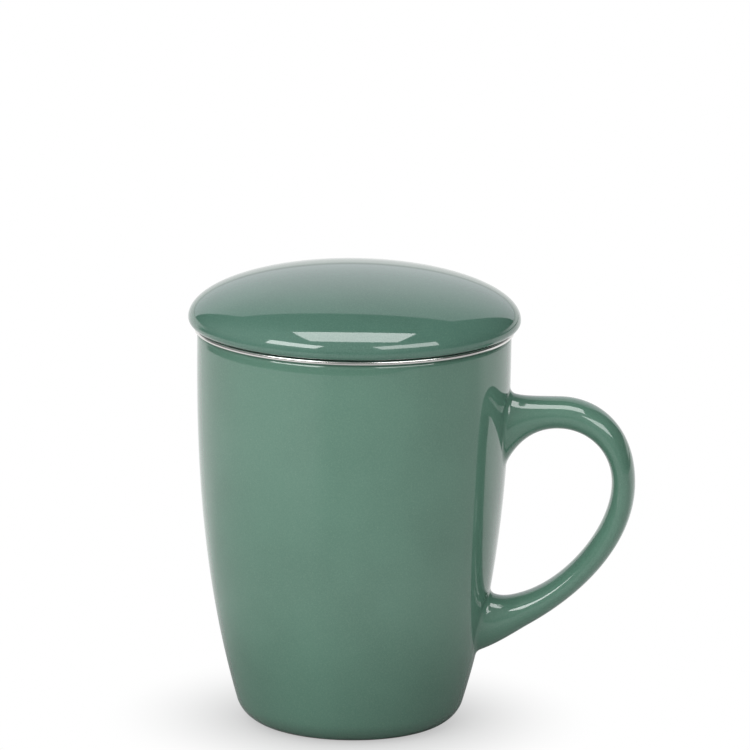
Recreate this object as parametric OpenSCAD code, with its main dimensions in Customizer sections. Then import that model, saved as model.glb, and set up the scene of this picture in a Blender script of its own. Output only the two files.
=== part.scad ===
// Stoneware tea mug with a lift-out mesh infuser and a domed lid, all in place.
// Millimetres, +Z up. The origin is the centre of the foot, on the mug's axis,
// and the handle points along +X.

/* [Mug body] */
// height from the foot to the top of the rim
mug_h = 110; // [96:1:126]
// outer diameter at the rim
rim_d = 86; // [80:1:96]
// diameter that the wall's curve runs down to at the foot
base_d = 58.6; // [52:0.2:68]
// wall thickness, rounded over at the rim
wall = 3.7; // [3:0.1:4.6]
// thickness of clay above the foot plane
floor_t = 7; // [5:0.5:10]
// outer rounding between the wall and the foot
base_round = 6; // [3:0.5:9]
// inner rounding between the wall and the floor
bowl_round = 10; // [6:0.5:14]
// width of the ring that the mug stands on
foot_w = 4.5; // [3:0.5:7]
// depth of the recess inside the foot ring
recess_h = 1.5; // [0.8:0.1:2.5]

/* [Handle] */
// how far the handle stands out past the rim
handle_out = 34.7; // [28:0.1:42]
// from the rim's top down to the handle's top
handle_drop = 17.1; // [12:0.1:24]
// height above the foot where the handle's underside meets the wall
handle_low = 20; // [14:0.5:28]
// height of the outermost point above the handle's low end
bend_rise = 48.9; // [40:0.1:54]
// thickness of the upper arm
arm_t = 8.6; // [6.5:0.1:10]
// thickness at the outermost point
grip_t = 6.4; // [5:0.1:8]
// thickness of the lower arm
tail_t = 8.7; // [6.5:0.1:10]
// width of the handle across its grip
handle_w = 12.4; // [10:0.2:16]
// extra width on each side where the handle meets the wall
root_flare = 1.8; // [0.5:0.1:3]

/* [Infuser] */
// how far the flange reaches past the mug's rim
flange_over = 0.8; // [0.4:0.1:2]
// sheet thickness of the flange and collar
sheet = 0.5; // [0.4:0.05:0.8]
// height of the flange's turned-down outer edge
edge_h = 1.1; // [0.9:0.1:1.6]
// radius of the bend between flange and collar
collar_bend = 1; // [0.9:0.1:1.8]
// height of the collar below the top of the flange
collar_h = 4.6; // [3.6:0.1:7]
// depth of the basket below the top of the flange
basket_depth = 51.1; // [40:0.1:60]
// depth at which the wall turns into the rounded bottom
bowl_start = 29; // [22:0.5:34]
// how far the wall has drawn in at that depth
basket_draft = 4; // [2:0.1:7]
// thickness of the woven mesh
mesh_t = 0.6; // [0.4:0.05:0.8]
// height of the folded hem round the mesh's top edge
hem_h = 3.9; // [1.4:0.1:4.4]
// how far the hem stands proud of the mesh
hem_step = 0.3; // [0.15:0.05:0.5]

/* [Lid] */
// how far the lid reaches past the flange
lid_over = 1.7; // [0.5:0.1:4]
// rise of the dome above the lid's widest line
dome_h = 13.4; // [9:0.1:20]
// radius of the edge under the widest line
lid_edge = 2; // [1.2:0.1:3]
// thickness of the lid at the crown
lid_wall = 4; // [3:0.1:5.5]
// depth of the locating ring below the seat
ring_h = 4; // [2.5:0.1:6]
// thickness of the locating ring
ring_t = 3.5; // [2.5:0.1:5]

/* [Clearances] */
// gap between resting faces of loose pieces
seat_gap = 0.3; // [0.2:0.05:0.5]
// gap between the hem and the mug's mouth
basket_gap = 0.4; // [0.3:0.05:0.8]
// gap between the lid's ring and the collar
ring_gap = 0.5; // [0.3:0.05:1]

/* [Hidden] */
$fn = 96;

barrel_power = 2.55;            // how quickly the wall's taper fades with height
draft_power = 1.6;              // the same for the basket's wall
section_power = 2.1;            // roundness of the handle's oval section
wall_steps = 14;                // rings along each long wall
round_steps = 8;                // rings round each corner
section_sides = 24;             // points round the handle's section
arm_steps = [7, 9, 10, 7];      // rings along each stretch of the handle
dome_steps = 18;                // rings up the lid's dome
bury = 2.5;                     // how far the handle's ends start inside the wall

rim_r = rim_d / 2;
mouth_r = rim_r - wall;
foot_r = base_d / 2 - base_round;

hem_r = mouth_r - basket_gap;
basket_r = hem_r - hem_step;
collar_out_r = basket_r - mesh_t;
collar_in_r = collar_out_r - sheet;
flange_r = rim_r + flange_over;
flange_top = mug_h + seat_gap + sheet;

lid_r = flange_r + lid_over;
lid_seat = flange_top + seat_gap;
lid_wide = lid_seat + lid_edge;
ring_out_r = collar_in_r - ring_gap;
ring_in_r = ring_out_r - ring_t;

stoneware = [0.33, 0.49, 0.42];
stoneware_arm = [0.38, 0.55, 0.47];
steel = [0.78, 0.78, 0.78];
woven = [0.88, 0.88, 0.88];

// ---- shared functions ----

// points of an arc about c from angle a to angle b
function arc(c, r, a, b, n) = [for (i = [0:n]) c + r * [cos(a + (b - a) * i / n), sin(a + (b - a) * i / n)]];

// the same list from its last point to its first
function reversed(p) = [for (i = [len(p) - 1:-1:0]) p[i]];

// unit vector to the left of the path at point i
function left_of(p, i) =
    let (d = p[min(i + 1, len(p) - 1)] - p[max(i - 1, 0)])
    [-d.y, d.x] / norm(d);

// radius of the mug's outer wall at height z, before the foot is rounded
function body_r(z) = rim_r - (rim_r - base_d / 2) * pow(max(0, 1 - z / mug_h), barrel_power);

// quarter-round that eases a wall offset by inset into a level at z0
function eased(inset, r, z0, n) = [
    for (i = [0:n])
        let (t = 90 * i / n, z = z0 + r * (1 - cos(t)))
        [body_r(z) - inset - r * (1 - sin(t)), z]
];

// the wall between two heights, offset inwards by inset
function wall_line(inset, z0, z1, n) = [
    for (i = [1:n - 1])
        let (z = z0 + (z1 - z0) * i / n)
        [body_r(z) - inset, z]
];

// ---- mug body ----

lip_z = mug_h - wall / 2;
lip_centre = [body_r(lip_z) - wall / 2, lip_z];
outer_line = concat(
    eased(0, base_round, 0, round_steps),
    wall_line(0, base_round, lip_z, wall_steps)
);
inner_line = concat(
    eased(wall, bowl_round, floor_t, round_steps),
    wall_line(wall, floor_t + bowl_round, lip_z, wall_steps)
);

module mug_body() {
    recess_r = foot_r - foot_w;
    color(stoneware)
    rotate_extrude()
    polygon(concat(
        [[recess_r, 0]],
        outer_line,
        arc(lip_centre, wall / 2, 0, 180, round_steps),
        reversed(inner_line),
        [[0, floor_t], [0, recess_h], [recess_r - recess_h, recess_h]]
    ));
}

// everything inside the mug's outer skin, to trim the handle's ends to it
module body_envelope() {
    rotate_extrude()
    polygon(concat([[0, 0]], outer_line, [[body_r(lip_z), lip_z], [body_r(lip_z), mug_h], [0, mug_h]]));
}

// ---- handle ----

handle_x = rim_r + handle_out;
handle_top = mug_h - handle_drop;
bend_z = handle_low + bend_rise;
crown_x = rim_r + 0.4 * handle_out;
arm_low = handle_top - arm_t;
grip_x = handle_x - grip_t;
low_r = body_r(handle_low);
tail_dir = [cos(32), sin(32)];
tail_in = [low_r + 0.35 * handle_out, handle_low + 2 * tail_t];
tail_out = tail_in + tail_t * [0.33, -0.95];
top_r = body_r(handle_top);

// outer side of the loop: wall, crown, bend, lower arm, wall
outer_path = [
    [top_r - bury + 0.6, handle_top + 3],
    [top_r, handle_top - 0.6],
    [top_r + 4, handle_top - 0.1],
    [crown_x, handle_top],
    [crown_x + 0.55 * (handle_x - crown_x), handle_top],
    [handle_x, bend_z + 0.64 * (handle_top - bend_z)],
    [handle_x, bend_z],
    [handle_x, bend_z - 0.33 * bend_rise],
    tail_out + 17.4 * tail_dir,
    tail_out,
    tail_out - 6 * tail_dir,
    [low_r + 4.4, handle_low + 1.6],
    [low_r - bury, handle_low - 0.2]
];

// inner side of the loop, matched to it stretch by stretch
inner_path = [
    [body_r(arm_low - 18) - bury + 0.6, arm_low - 18.3],
    [body_r(arm_low - 8) - 0.4, arm_low - 7.3],
    [crown_x - 9, arm_low],
    [crown_x, arm_low],
    [crown_x + 0.54 * (grip_x - crown_x), arm_low],
    [grip_x, bend_z + 0.62 * (arm_low - bend_z)],
    [grip_x, bend_z + 0.6],
    [grip_x, bend_z - 0.24 * bend_rise],
    tail_in + 13 * [cos(18.5), sin(18.5)],
    tail_in,
    tail_in - 4 * [cos(18.5), sin(18.5)],
    [body_r(handle_low + 17) + 1.6, tail_in.y - 2],
    [body_r(handle_low + 20) - bury, tail_in.y + 1.2]
];

// point at t along stretch i of a path of cubic curves
function along(path, i, t) =
    pow(1 - t, 3) * path[3 * i]
    + 3 * pow(1 - t, 2) * t * path[3 * i + 1]
    + 3 * (1 - t) * t * t * path[3 * i + 2]
    + pow(t, 3) * path[3 * i + 3];

// [stretch, share of it] for every ring of the handle
stations = [
    for (i = [0:3])
        for (k = [(i == 0 ? 0 : 1):arm_steps[i]])
            [i, k / arm_steps[i]]
];

// half width at a station, flared towards the wall at both ends
function half_width(s) =
    handle_w / 2 + root_flare * (s[0] == 0 ? pow(1 - s[1], 2) : s[0] == 3 ? pow(s[1], 2) : 0);

// rounded ordinate of the oval section
function oval(v) = sign(v) * pow(abs(v), 2 / section_power);

function section(s) =
    let (
        o = along(outer_path, s[0], s[1]),
        n = along(inner_path, s[0], s[1]),
        mid = (o + n) / 2,
        half = (o - n) / 2
    )
    [
        for (k = [0:section_sides - 1])
            let (
                a = 360 * k / section_sides,
                p = mid + half * oval(cos(a))
            )
            [p.x, half_width(s) * oval(sin(a)), p.y]
    ];

module handle_sweep() {
    m = section_sides;
    last = len(stations) - 1;
    sides = [
        for (i = [0:last - 1])
            for (k = [0:m - 1])
                let (a = i * m + k, b = i * m + (k + 1) % m)
                for (f = [[a, a + m, b], [b, a + m, b + m]])
                    f
    ];
    polyhedron(
        points = [for (s = stations) each section(s)],
        faces = concat(
            [[for (k = [0:m - 1]) k]],
            sides,
            [[for (k = [m - 1:-1:0]) last * m + k]]
        ),
        convexity = 6
    );
}

module mug_handle() {
    color(stoneware_arm)
    difference() {
        handle_sweep();
        body_envelope();
    }
}

// ---- infuser ----

module infuser_rim() {
    bend_centre = [collar_in_r + collar_bend, flange_top - collar_bend];
    edge_r = edge_h - 0.2;
    edge_centre = [flange_r - edge_r, flange_top - edge_r];
    color(steel)
    rotate_extrude()
    polygon(concat(
        [[collar_in_r, flange_top - collar_h], [collar_out_r, flange_top - collar_h]],
        arc(bend_centre, collar_bend - sheet, 180, 90, 4),
        arc(edge_centre, edge_r - sheet, 90, 0, 4),
        [[flange_r - sheet, flange_top - edge_h], [flange_r, flange_top - edge_h]],
        arc(edge_centre, edge_r, 0, 90, 6),
        arc(bend_centre, collar_bend, 90, 180, 6)
    ));
}

// radius of the mesh's outside at depth d below the top of the flange
function mesh_wall(d) =
    basket_r - basket_draft * pow(max(0, d - collar_h) / (bowl_start - collar_h), draft_power);
bowl_h = basket_depth - bowl_start;
hem_low = collar_bend + hem_h;       // depth of the hem's lower edge
free_d = max(collar_h, hem_low);     // depth below which the cloth hangs free
mesh_line = concat(
    [[mesh_wall(free_d), flange_top - free_d]],
    [
        for (i = [1:8])
            let (d = free_d + (bowl_start - free_d) * i / 8)
            [mesh_wall(d), flange_top - d]
    ],
    [
        for (i = [1:12])
            let (a = 90 * i / 12, d = bowl_start + bowl_h * sin(a))
            [mesh_wall(d) * cos(a), flange_top - d]
    ]
);

module infuser_mesh() {
    hem_top = flange_top - collar_bend;
    last = len(mesh_line) - 1;
    inside = [for (i = [1:last - 1]) mesh_line[i] - mesh_t * left_of(mesh_line, i)];
    color(woven)
    rotate_extrude()
    polygon(concat(
        [[collar_out_r, hem_top], [collar_out_r, flange_top - collar_h]],
        inside,
        [mesh_line[last] + [0, mesh_t]],
        reversed(mesh_line),
        hem_low < collar_h ? [[basket_r, flange_top - hem_low]] : [],
        [[hem_r, flange_top - hem_low], [hem_r, hem_top]]
    ));
}

// ---- lid ----

module lid() {
    under_r = lid_r - lid_wall;
    under_z = lid_seat + lid_edge / 4;
    under_h = lid_wide + dome_h - lid_wall - under_z;
    ring_angle = acos(ring_in_r / under_r);
    outside = [
        for (i = [0:dome_steps])
            let (a = 90 * i / dome_steps)
            [lid_r * cos(a), lid_wide + dome_h * sin(a)]
    ];
    inside = [
        for (i = [0:dome_steps])
            let (a = 90 + (ring_angle - 90) * i / dome_steps)
            [under_r * cos(a), under_z + under_h * sin(a)]
    ];
    color(stoneware)
    rotate_extrude()
    polygon(concat(
        arc([lid_r - lid_edge, lid_wide], lid_edge, -90, 0, round_steps),
        [for (i = [1:dome_steps]) outside[i]],
        inside,
        [[ring_in_r, lid_seat - ring_h], [ring_out_r, lid_seat - ring_h], [ring_out_r, lid_seat]]
    ));
}

mug_body();
mug_handle();
infuser_rim();
infuser_mesh();
lid();
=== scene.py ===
"""Stoneware infuser mug: glazed body and handle, steel strainer, domed lid and a small studio."""

import bisect
import math
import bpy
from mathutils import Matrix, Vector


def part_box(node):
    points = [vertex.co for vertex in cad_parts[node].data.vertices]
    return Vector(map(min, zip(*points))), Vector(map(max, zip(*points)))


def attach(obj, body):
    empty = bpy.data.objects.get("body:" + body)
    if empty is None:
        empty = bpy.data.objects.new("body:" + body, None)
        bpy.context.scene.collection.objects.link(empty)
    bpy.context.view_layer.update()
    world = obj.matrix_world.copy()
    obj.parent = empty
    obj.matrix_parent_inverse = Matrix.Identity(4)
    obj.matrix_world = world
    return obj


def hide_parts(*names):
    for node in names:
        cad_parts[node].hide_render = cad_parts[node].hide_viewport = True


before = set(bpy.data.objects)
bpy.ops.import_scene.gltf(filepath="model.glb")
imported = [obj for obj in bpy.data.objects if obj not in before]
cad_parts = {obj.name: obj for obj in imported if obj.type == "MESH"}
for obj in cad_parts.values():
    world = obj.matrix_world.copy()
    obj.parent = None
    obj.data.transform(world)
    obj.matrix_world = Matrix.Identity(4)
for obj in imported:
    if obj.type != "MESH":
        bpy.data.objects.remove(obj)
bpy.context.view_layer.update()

from types import SimpleNamespace

import bmesh
import bpy
import numpy as np
from bpy.props import FloatProperty, FloatVectorProperty, IntProperty, PointerProperty
from mathutils import Matrix, Vector

bl_info = {
    "name": "Infuser Mug",
    "version": (1, 0, 0),
    "blender": (4, 5, 0),
    "location": "3D View > Sidebar > Mug",
    "description": "Glazed mug, woven strainer and lid, fitted over their packed solids",
    "category": "Add Mesh",
}

MM = 0.001
TAU = 2 * math.pi
SEAM = 0.01 * MM  # points of a turned skin closer than this are one
DOUBLE = 0.002 * MM  # the same for a finished mesh
BODY_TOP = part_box("mug_body")[1]
HANDLE_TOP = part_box("mug_handle")[1]
FLANGE_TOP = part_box("infuser_rim")[1]
BASKET_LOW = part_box("infuser_mesh")[0]
LID_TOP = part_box("lid")[1]


# ---- sizes and looks that a user may change ----


def length(name, description, default, least=0.0, most=0.2):
    """A length in metres."""
    return FloatProperty(
        name=name, description=description, default=default, min=least, max=most,
        unit="LENGTH", subtype="DISTANCE", precision=5,
    )


def colour(name, description, default):
    """A linear colour."""
    return FloatVectorProperty(
        name=name, description=description, default=default, min=0.0, max=1.0, size=3,
        subtype="COLOR",
    )


def share(name, description, default, most=1.0):
    """A number from 0 up."""
    return FloatProperty(
        name=name, description=description, default=default, min=0.0, max=most, subtype="FACTOR"
    )


def angle(name, description, degrees):
    """An angle, given in degrees."""
    return FloatProperty(
        name=name, description=description, default=math.radians(degrees), subtype="ANGLE"
    )


class MugSizes(bpy.types.PropertyGroup):
    """The body's profile and the handle's loop."""

    rim_radius: length("Rim radius", "Outer radius at the rim", BODY_TOP.x)
    height: length("Height", "Foot to rim", BODY_TOP.z)
    base_radius: length("Base radius", "Radius the wall runs down to at the foot", 0.0293)
    wall: length("Wall", "Wall thickness, rounded over at the rim", 0.0037)
    floor: length("Floor", "Clay above the foot plane", 0.007)
    base_round: length("Base round", "Outer rounding between wall and foot", 0.006)
    bowl_round: length("Bowl round", "Inner rounding between wall and floor", 0.010)
    foot_width: length("Foot width", "Width of the ring the mug stands on", 0.0045)
    recess: length("Recess", "Depth inside the foot ring", 0.0015)
    reach: length("Handle reach", "Axis to the handle's outermost point", HANDLE_TOP.x)
    drop: length("Handle drop", "Rim down to the handle's top", 0.0171)
    low: length("Handle low end", "Height where the underside meets the wall", 0.020)
    bend_rise: length("Bend rise", "Outermost point above the low end", 0.0489)
    arm: length("Upper arm", "Thickness of the upper arm", 0.0086)
    grip: length("Grip", "Thickness at the outermost point", 0.0064)
    tail: length("Lower arm", "Thickness of the lower arm", 0.0087)
    width: length("Handle width", "Width across the grip", 0.0124)
    flare: length("Root flare", "Extra width on each side at the wall", 0.0018)
    fillet: length("Root fillet", "Rounding between handle and wall", 0.0013)
    sides: IntProperty(name="Sides", description="Faces round the body", default=192, min=24, max=512)


class StrainerSizes(bpy.types.PropertyGroup):
    """The pressed flange and the woven basket."""

    flange_radius: length("Flange radius", "Outer radius of the flange", FLANGE_TOP.x)
    flange_top: length("Flange top", "Height of the flange's top face", FLANGE_TOP.z)
    sheet: length("Sheet", "Thickness of the pressed sheet", 0.0005)
    edge: length("Edge", "Height of the turned-down edge", 0.0011)
    edge_round: length("Edge round", "Rounding on top of the turned-down edge", 0.00055)
    bend: length("Bend", "Radius between flange and collar", 0.001)
    collar: length("Collar", "Height of the collar", 0.0046)
    collar_radius: length("Collar radius", "Inside radius of the collar", 0.0375)
    basket_radius: length("Basket radius", "Outside radius at the top", 0.0386)
    bowl_start: length("Bowl start", "Depth where the rounded bottom begins", 0.029)
    draft: length("Draft", "How far the wall draws in above it", 0.004)
    cloth: length("Cloth", "Thickness of the woven cloth", 0.0006)
    pitch: length("Pitch", "Distance between wires", 0.00073, 0.0003, 0.003)
    wire: length("Wire", "Diameter of a wire", 0.00029, 0.00005, 0.001)
    hem: length("Hem", "Height of the folded hem", 0.0039)
    hem_radius: length("Hem radius", "Outside radius of the hem", 0.0389)
    turn: angle("Cloth turn", "Turn of the straight wires about the axis", -33)


class LidSizes(bpy.types.PropertyGroup):
    """The domed lid and its locating ring."""

    radius: length("Radius", "Outer radius at the widest line", LID_TOP.x)
    crown: length("Crown", "Height of the crown", LID_TOP.z)
    dome: length("Dome", "Rise above the widest line", 0.0134)
    edge: length("Edge", "Radius under the widest line", 0.002)
    wall: length("Wall", "Thickness at the crown", 0.004)
    ring_depth: length("Ring depth", "Depth of the locating ring", 0.004)
    ring_radius: length("Ring radius", "Outside radius of the ring", 0.037)
    ring: length("Ring", "Thickness of the ring", 0.0035)


class Looks(bpy.types.PropertyGroup):
    """Colours and finishes."""

    glaze: colour("Glaze", "Grey-green glaze", (0.100, 0.214, 0.157))
    lid_glaze: colour("Lid glaze", "The lid's slightly cooler glaze", (0.080, 0.179, 0.136))
    speck: colour("Specks", "Fine pale specks in the glaze", (0.185, 0.315, 0.25))
    clay: colour("Clay", "Bare fired clay", (0.62, 0.57, 0.49))
    gloss: share("Glaze roughness", "Roughness of the glaze", 0.045)
    steel: colour("Steel", "Polished steel", (0.78, 0.775, 0.745))
    wire: colour("Wire", "Drawn steel wire", (0.96, 0.96, 0.96))
    hem: colour("Hem", "Folded wire of the hem", (0.80, 0.80, 0.80))


class StageSizes(bpy.types.PropertyGroup):
    """The camera and the lamps."""

    turn: angle("Camera turn", "Turn towards the handle", 6)
    rise: angle("Camera rise", "Height angle above the table", 14.02)
    lean: angle("Camera lean", "Roll to the left", 0.728)
    distance: length("Camera distance", "To the middle of the mug", 2.6, 0.3, 20.0)
    middle: length("Mug middle", "Height that the distance is measured to", 0.053)
    aim_right: length("Aim right", "Picture's centre right of the axis", 0.00634, -1.0, 1.0)
    aim_up: length("Aim up", "Picture's centre above the mug's middle", 0.04283, -1.0, 1.0)
    lens: FloatProperty(name="Lens", description="Focal length in millimetres", default=454.3, min=20)
    sky: share("Room light", "Even light from all round", 0.48, 3.0)
    studio: angle("Studio turn", "Turn of the table and backdrop about the mug", 6)
    screen: share("Backdrop", "What shiny faces see of the backdrop", 0.98)
    paper: colour("Paper", "Cool white of the backdrop", (0.955, 0.955, 1.0))
    horizon: share("Table line", "What shiny faces see of the far table", 0.95)


def polar(radius, turn, z=0.0):
    """The point at a radius and a turn about the Z axis."""
    return (radius * math.cos(turn), radius * math.sin(turn), z)


def in_mm(group):
    """A group's lengths in millimetres, and its other values as they are."""
    values = {}
    for key, prop in group.bl_rna.properties.items():
        if key in ("rna_type", "name"):
            continue
        value = getattr(group, key)
        values[key] = value / MM if getattr(prop, "unit", "NONE") == "LENGTH" else value
    return SimpleNamespace(**values)


# ---- short calls for node trees ----


class Wiring:
    """A node tree with short calls for adding nodes and joining them."""

    def __init__(self, tree):
        self.tree = tree

    def add(self, kind, inputs=None, **settings):
        """A new node. inputs maps a socket's name or place to a value or to a socket."""
        made = self.tree.nodes.new(kind)
        for key, value in settings.items():
            setattr(made, key, value)
        for key, value in (inputs or {}).items():
            if isinstance(value, bpy.types.NodeSocket):
                self.join(value, made.inputs[key])
            else:
                made.inputs[key].default_value = value
        return made

    def join(self, source, target):
        """Links two sockets."""
        self.tree.links.new(source, target)

    def maths(self, operation, *values):
        """The result of a Math node."""
        made = self.add("ShaderNodeMath", dict(enumerate(values)), operation=operation)
        return made.outputs[0]

    def times(self, first, second):
        """The product of two numbers."""
        return self.maths("MULTIPLY", first, second)

    def plus(self, first, second):
        """The sum of two numbers."""
        return self.maths("ADD", first, second)

    def vector(self, operation, *values):
        """The vector, or the number, that a Vector Math node gives."""
        made = self.add("ShaderNodeVectorMath", dict(enumerate(values)), operation=operation)
        return made.outputs["Value" if operation in ("DOT_PRODUCT", "LENGTH") else "Vector"]

    def mix(self, factor, first, second):
        """Two numbers mixed."""
        return self.add("ShaderNodeMix", {0: factor, 2: first, 3: second}).outputs[0]

    def ramp(self, value, start, end, low=0.0, high=1.0):
        """A smooth step from low to high, for a value between start and end."""
        made = self.add(
            "ShaderNodeMapRange", {0: value, 1: start, 2: end, 3: low, 4: high},
            interpolation_type="SMOOTHSTEP",
        )
        return made.outputs[0]

    def blend(self, factor, first, second, mode="MIX"):
        """Two colours mixed."""
        made = self.add("ShaderNodeMix", {0: factor, 6: first, 7: second}, data_type="RGBA")
        made.blend_type = mode
        return made.outputs[2]

    def noise(self, place, scale, detail=2.0, roughness=0.5):
        """A noise value from 0 to 1 at a place."""
        made = self.add(
            "ShaderNodeTexNoise",
            {"Vector": place, "Scale": scale, "Detail": detail, "Roughness": roughness},
        )
        return made.outputs["Fac"]

    def grouped(self, group, values):
        """The outputs of a group node with its inputs set."""
        return self.add("ShaderNodeGroup", values, node_tree=group).outputs


def new_tree(name, kind, inputs, outputs):
    """A node group with named sockets, given as (kind, name) or (kind, name, default)."""
    tree = bpy.data.node_groups.new(name, kind)
    for way, sockets in (("INPUT", inputs), ("OUTPUT", outputs)):
        for form, title, *default in sockets:
            made = tree.interface.new_socket(title, in_out=way, socket_type="NodeSocket" + form)
            if default:
                made.default_value = default[0]
    wiring = Wiring(tree)
    return wiring, wiring.add("NodeGroupInput").outputs, wiring.add("NodeGroupOutput").inputs


def shared(name, build):
    """The node group of that name, built at its first use."""
    return bpy.data.node_groups.get(name) or build()


# ---- trees that make meshes ----


def finish_mesh(t, mesh, material, result):
    """Ends a tree: instances made real and the material set."""
    real = t.add("GeometryNodeRealizeInstances", {0: mesh})
    painted = t.add("GeometryNodeSetMaterial", {0: real.outputs[0], 2: material})
    t.join(painted.outputs[0], result[0])
    return t.tree


def turned_tree():
    """Turns a chain of profile points about the Z axis into a closed skin."""
    t, given, result = new_tree(
        "Turned form", "GeometryNodeTree",
        [("Geometry", "Profile"), ("Int", "Sides", 96), ("Material", "Material")],
        [("Geometry", "Skin")],
    )
    points = t.add("GeometryNodeAttributeDomainSize", {0: given["Profile"]}, component="MESH")
    columns = t.plus(given["Sides"], 1.0)
    grid = t.add("GeometryNodeMeshGrid", {2: points.outputs["Point Count"], 3: columns})
    index = t.add("GeometryNodeInputIndex").outputs[0]
    row = t.maths("FLOOR", t.maths("DIVIDE", t.plus(index, 0.5), columns))
    column = t.maths("SUBTRACT", index, t.times(row, columns))
    place = t.add("GeometryNodeInputPosition").outputs[0]
    sampled = t.add(
        "GeometryNodeSampleIndex", {0: given["Profile"], 1: place, 2: row},
        data_type="FLOAT_VECTOR", domain="POINT",
    )
    along = t.add("ShaderNodeSeparateXYZ", {0: sampled.outputs[0]}).outputs
    angle = t.maths("DIVIDE", t.times(column, TAU), given["Sides"])
    x, y = (t.times(along[0], t.maths(wave, angle)) for wave in ("COSINE", "SINE"))
    ring = t.add("ShaderNodeCombineXYZ", {0: x, 1: y, 2: along[2]})
    skin = t.add("GeometryNodeSetPosition", {0: grid.outputs[0], 2: ring.outputs[0]})
    closed = t.add("GeometryNodeMergeByDistance", {0: skin.outputs[0], "Distance": SEAM})
    return finish_mesh(t, closed.outputs[0], given["Material"], result)


def wire_tree():
    """Lifts chains of points over and under each other and draws a wire along each."""
    t, given, result = new_tree(
        "Woven wire", "GeometryNodeTree",
        [
            ("Geometry", "Chains"), ("Float", "Wire Diameter", 0.23 * MM),
            ("Int", "Corners", 4), ("Material", "Material"),
        ],
        [("Geometry", "Wires")],
    )
    radius = t.times(given["Wire Diameter"], 0.5)
    over = t.add("GeometryNodeInputNamedAttribute", {0: "over"}, data_type="FLOAT_VECTOR")
    even = t.add("ShaderNodeCombineXYZ", {0: radius, 1: radius, 2: radius}).outputs[0]
    lift = t.vector("MULTIPLY", over.outputs[0], even)
    woven = t.add("GeometryNodeSetPosition", {0: given["Chains"], 3: lift})
    path = t.add("GeometryNodeMeshToCurve", {0: woven.outputs[0]})
    circle = t.add(
        "GeometryNodeCurvePrimitiveCircle", {"Resolution": given["Corners"], "Radius": radius}
    )
    drawn = t.add(
        "GeometryNodeCurveToMesh",
        {0: path.outputs[0], "Profile Curve": circle.outputs[0], "Fill Caps": True},
    )
    smooth = t.add("GeometryNodeSetShadeSmooth", {0: drawn.outputs[0], "Shade Smooth": True})
    return finish_mesh(t, smooth.outputs[0], given["Material"], result)


def grown(name, seed, tree, values):
    """The plain mesh object that a tree makes from a seed mesh."""
    piece = bpy.data.objects.new(name, seed)
    bpy.context.scene.collection.objects.link(piece)
    modifier = piece.modifiers.new(tree.name, "NODES")
    modifier.node_group = tree
    for item in tree.interface.items_tree:
        if item.in_out == "INPUT" and item.name in values:
            modifier[item.identifier] = values[item.name]
    seen = piece.evaluated_get(bpy.context.evaluated_depsgraph_get())
    made = bpy.data.meshes.new_from_object(seen)
    piece.modifiers.clear()
    piece.data = made
    made.name = name
    bpy.data.meshes.remove(seed)
    if not made.polygons:
        raise RuntimeError(f"the tree {tree.name} made no faces for {name}")
    return piece


def chain_mesh(name, chains, over=None):
    """A mesh of loose chains of points in millimetres, with a lift vector at each point."""
    points, edges = [], []
    for chain in chains:
        first = len(points)
        points.extend(chain)
        edges.extend((i, i + 1) for i in range(first, len(points) - 1))
    mesh = bpy.data.meshes.new(name)
    mesh.from_pydata(np.array(points, float) * MM, edges, [])
    if over is not None:
        lift = mesh.attributes.new("over", "FLOAT_VECTOR", "POINT")
        lift.data.foreach_set("vector", np.array(over, np.float32).ravel())
    return mesh


WIRE_CORNERS = 4
CAP_AWAY, CAP_HALF = 0.6, 0.3  # where an end cap lies past its wire's strip, in rings
STRIP_EDGE = 0.1  # margin above and below a strip, as a share of its row


def wire_map(piece, sizes, corners=WIRE_CORNERS):
    """A UV map of strips, one for each wire, set out in rows; sizes are the wires' points."""
    # each strip has room for a cap at both ends
    wide = max(max(sizes) + 2, int(math.sqrt(sum(sizes) * corners)))
    across, row, origins = 0, 0, []
    for size in sizes:
        if across + size + 1 > wide:
            across, row = 0, row + 1
        origins.append((across + 1, row))
        across += size + 2
    origins = np.array(origins, float)
    first = np.concatenate(([0], np.cumsum(sizes)[:-1])) * corners
    mesh = piece.data
    vertex = np.empty(len(mesh.loops), np.int32)
    mesh.loops.foreach_get("vertex_index", vertex)
    wire = np.searchsorted(first, vertex, side="right") - 1
    local = vertex - first[wire]
    ring = (local // corners).reshape(-1, corners).astype(float)
    corner = (local % corners).reshape(-1, corners).astype(float)
    cap = ring.min(1) == ring.max(1)
    wraps = ~cap & (corner.max(1) - corner.min(1) > 1)
    corner[wraps] = np.where(corner[wraps] == 0, corners, corner[wraps])
    turn = TAU * corner[cap] / corners
    end = np.where(ring[cap] > 0, CAP_AWAY, -CAP_AWAY)
    ring[cap] += end + CAP_HALF * np.cos(turn)
    corner[cap] = corners * (0.5 + CAP_HALF * np.sin(turn))
    high = (1 - 2 * STRIP_EDGE) * corner.ravel() / corners
    places = np.column_stack(
        (
            (origins[wire, 0] + ring.ravel()) / (wide + 1),
            (origins[wire, 1] + STRIP_EDGE + high) / (row + 1),
        )
    )
    mesh.uv_layers.new(name="OFBake").uv.foreach_set("vector", places.astype(np.float32).ravel())


def tidy_mesh(piece):
    """Merges doubles, points every face outwards and shades the skin smooth."""
    made = bmesh.new()
    made.from_mesh(piece.data)
    bmesh.ops.remove_doubles(made, verts=made.verts, dist=DOUBLE)
    bmesh.ops.recalc_face_normals(made, faces=made.faces)
    if made.calc_volume(signed=True) < 0:
        bmesh.ops.reverse_faces(made, faces=made.faces)
    made.to_mesh(piece.data)
    made.free()
    piece.data.shade_smooth()


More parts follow.
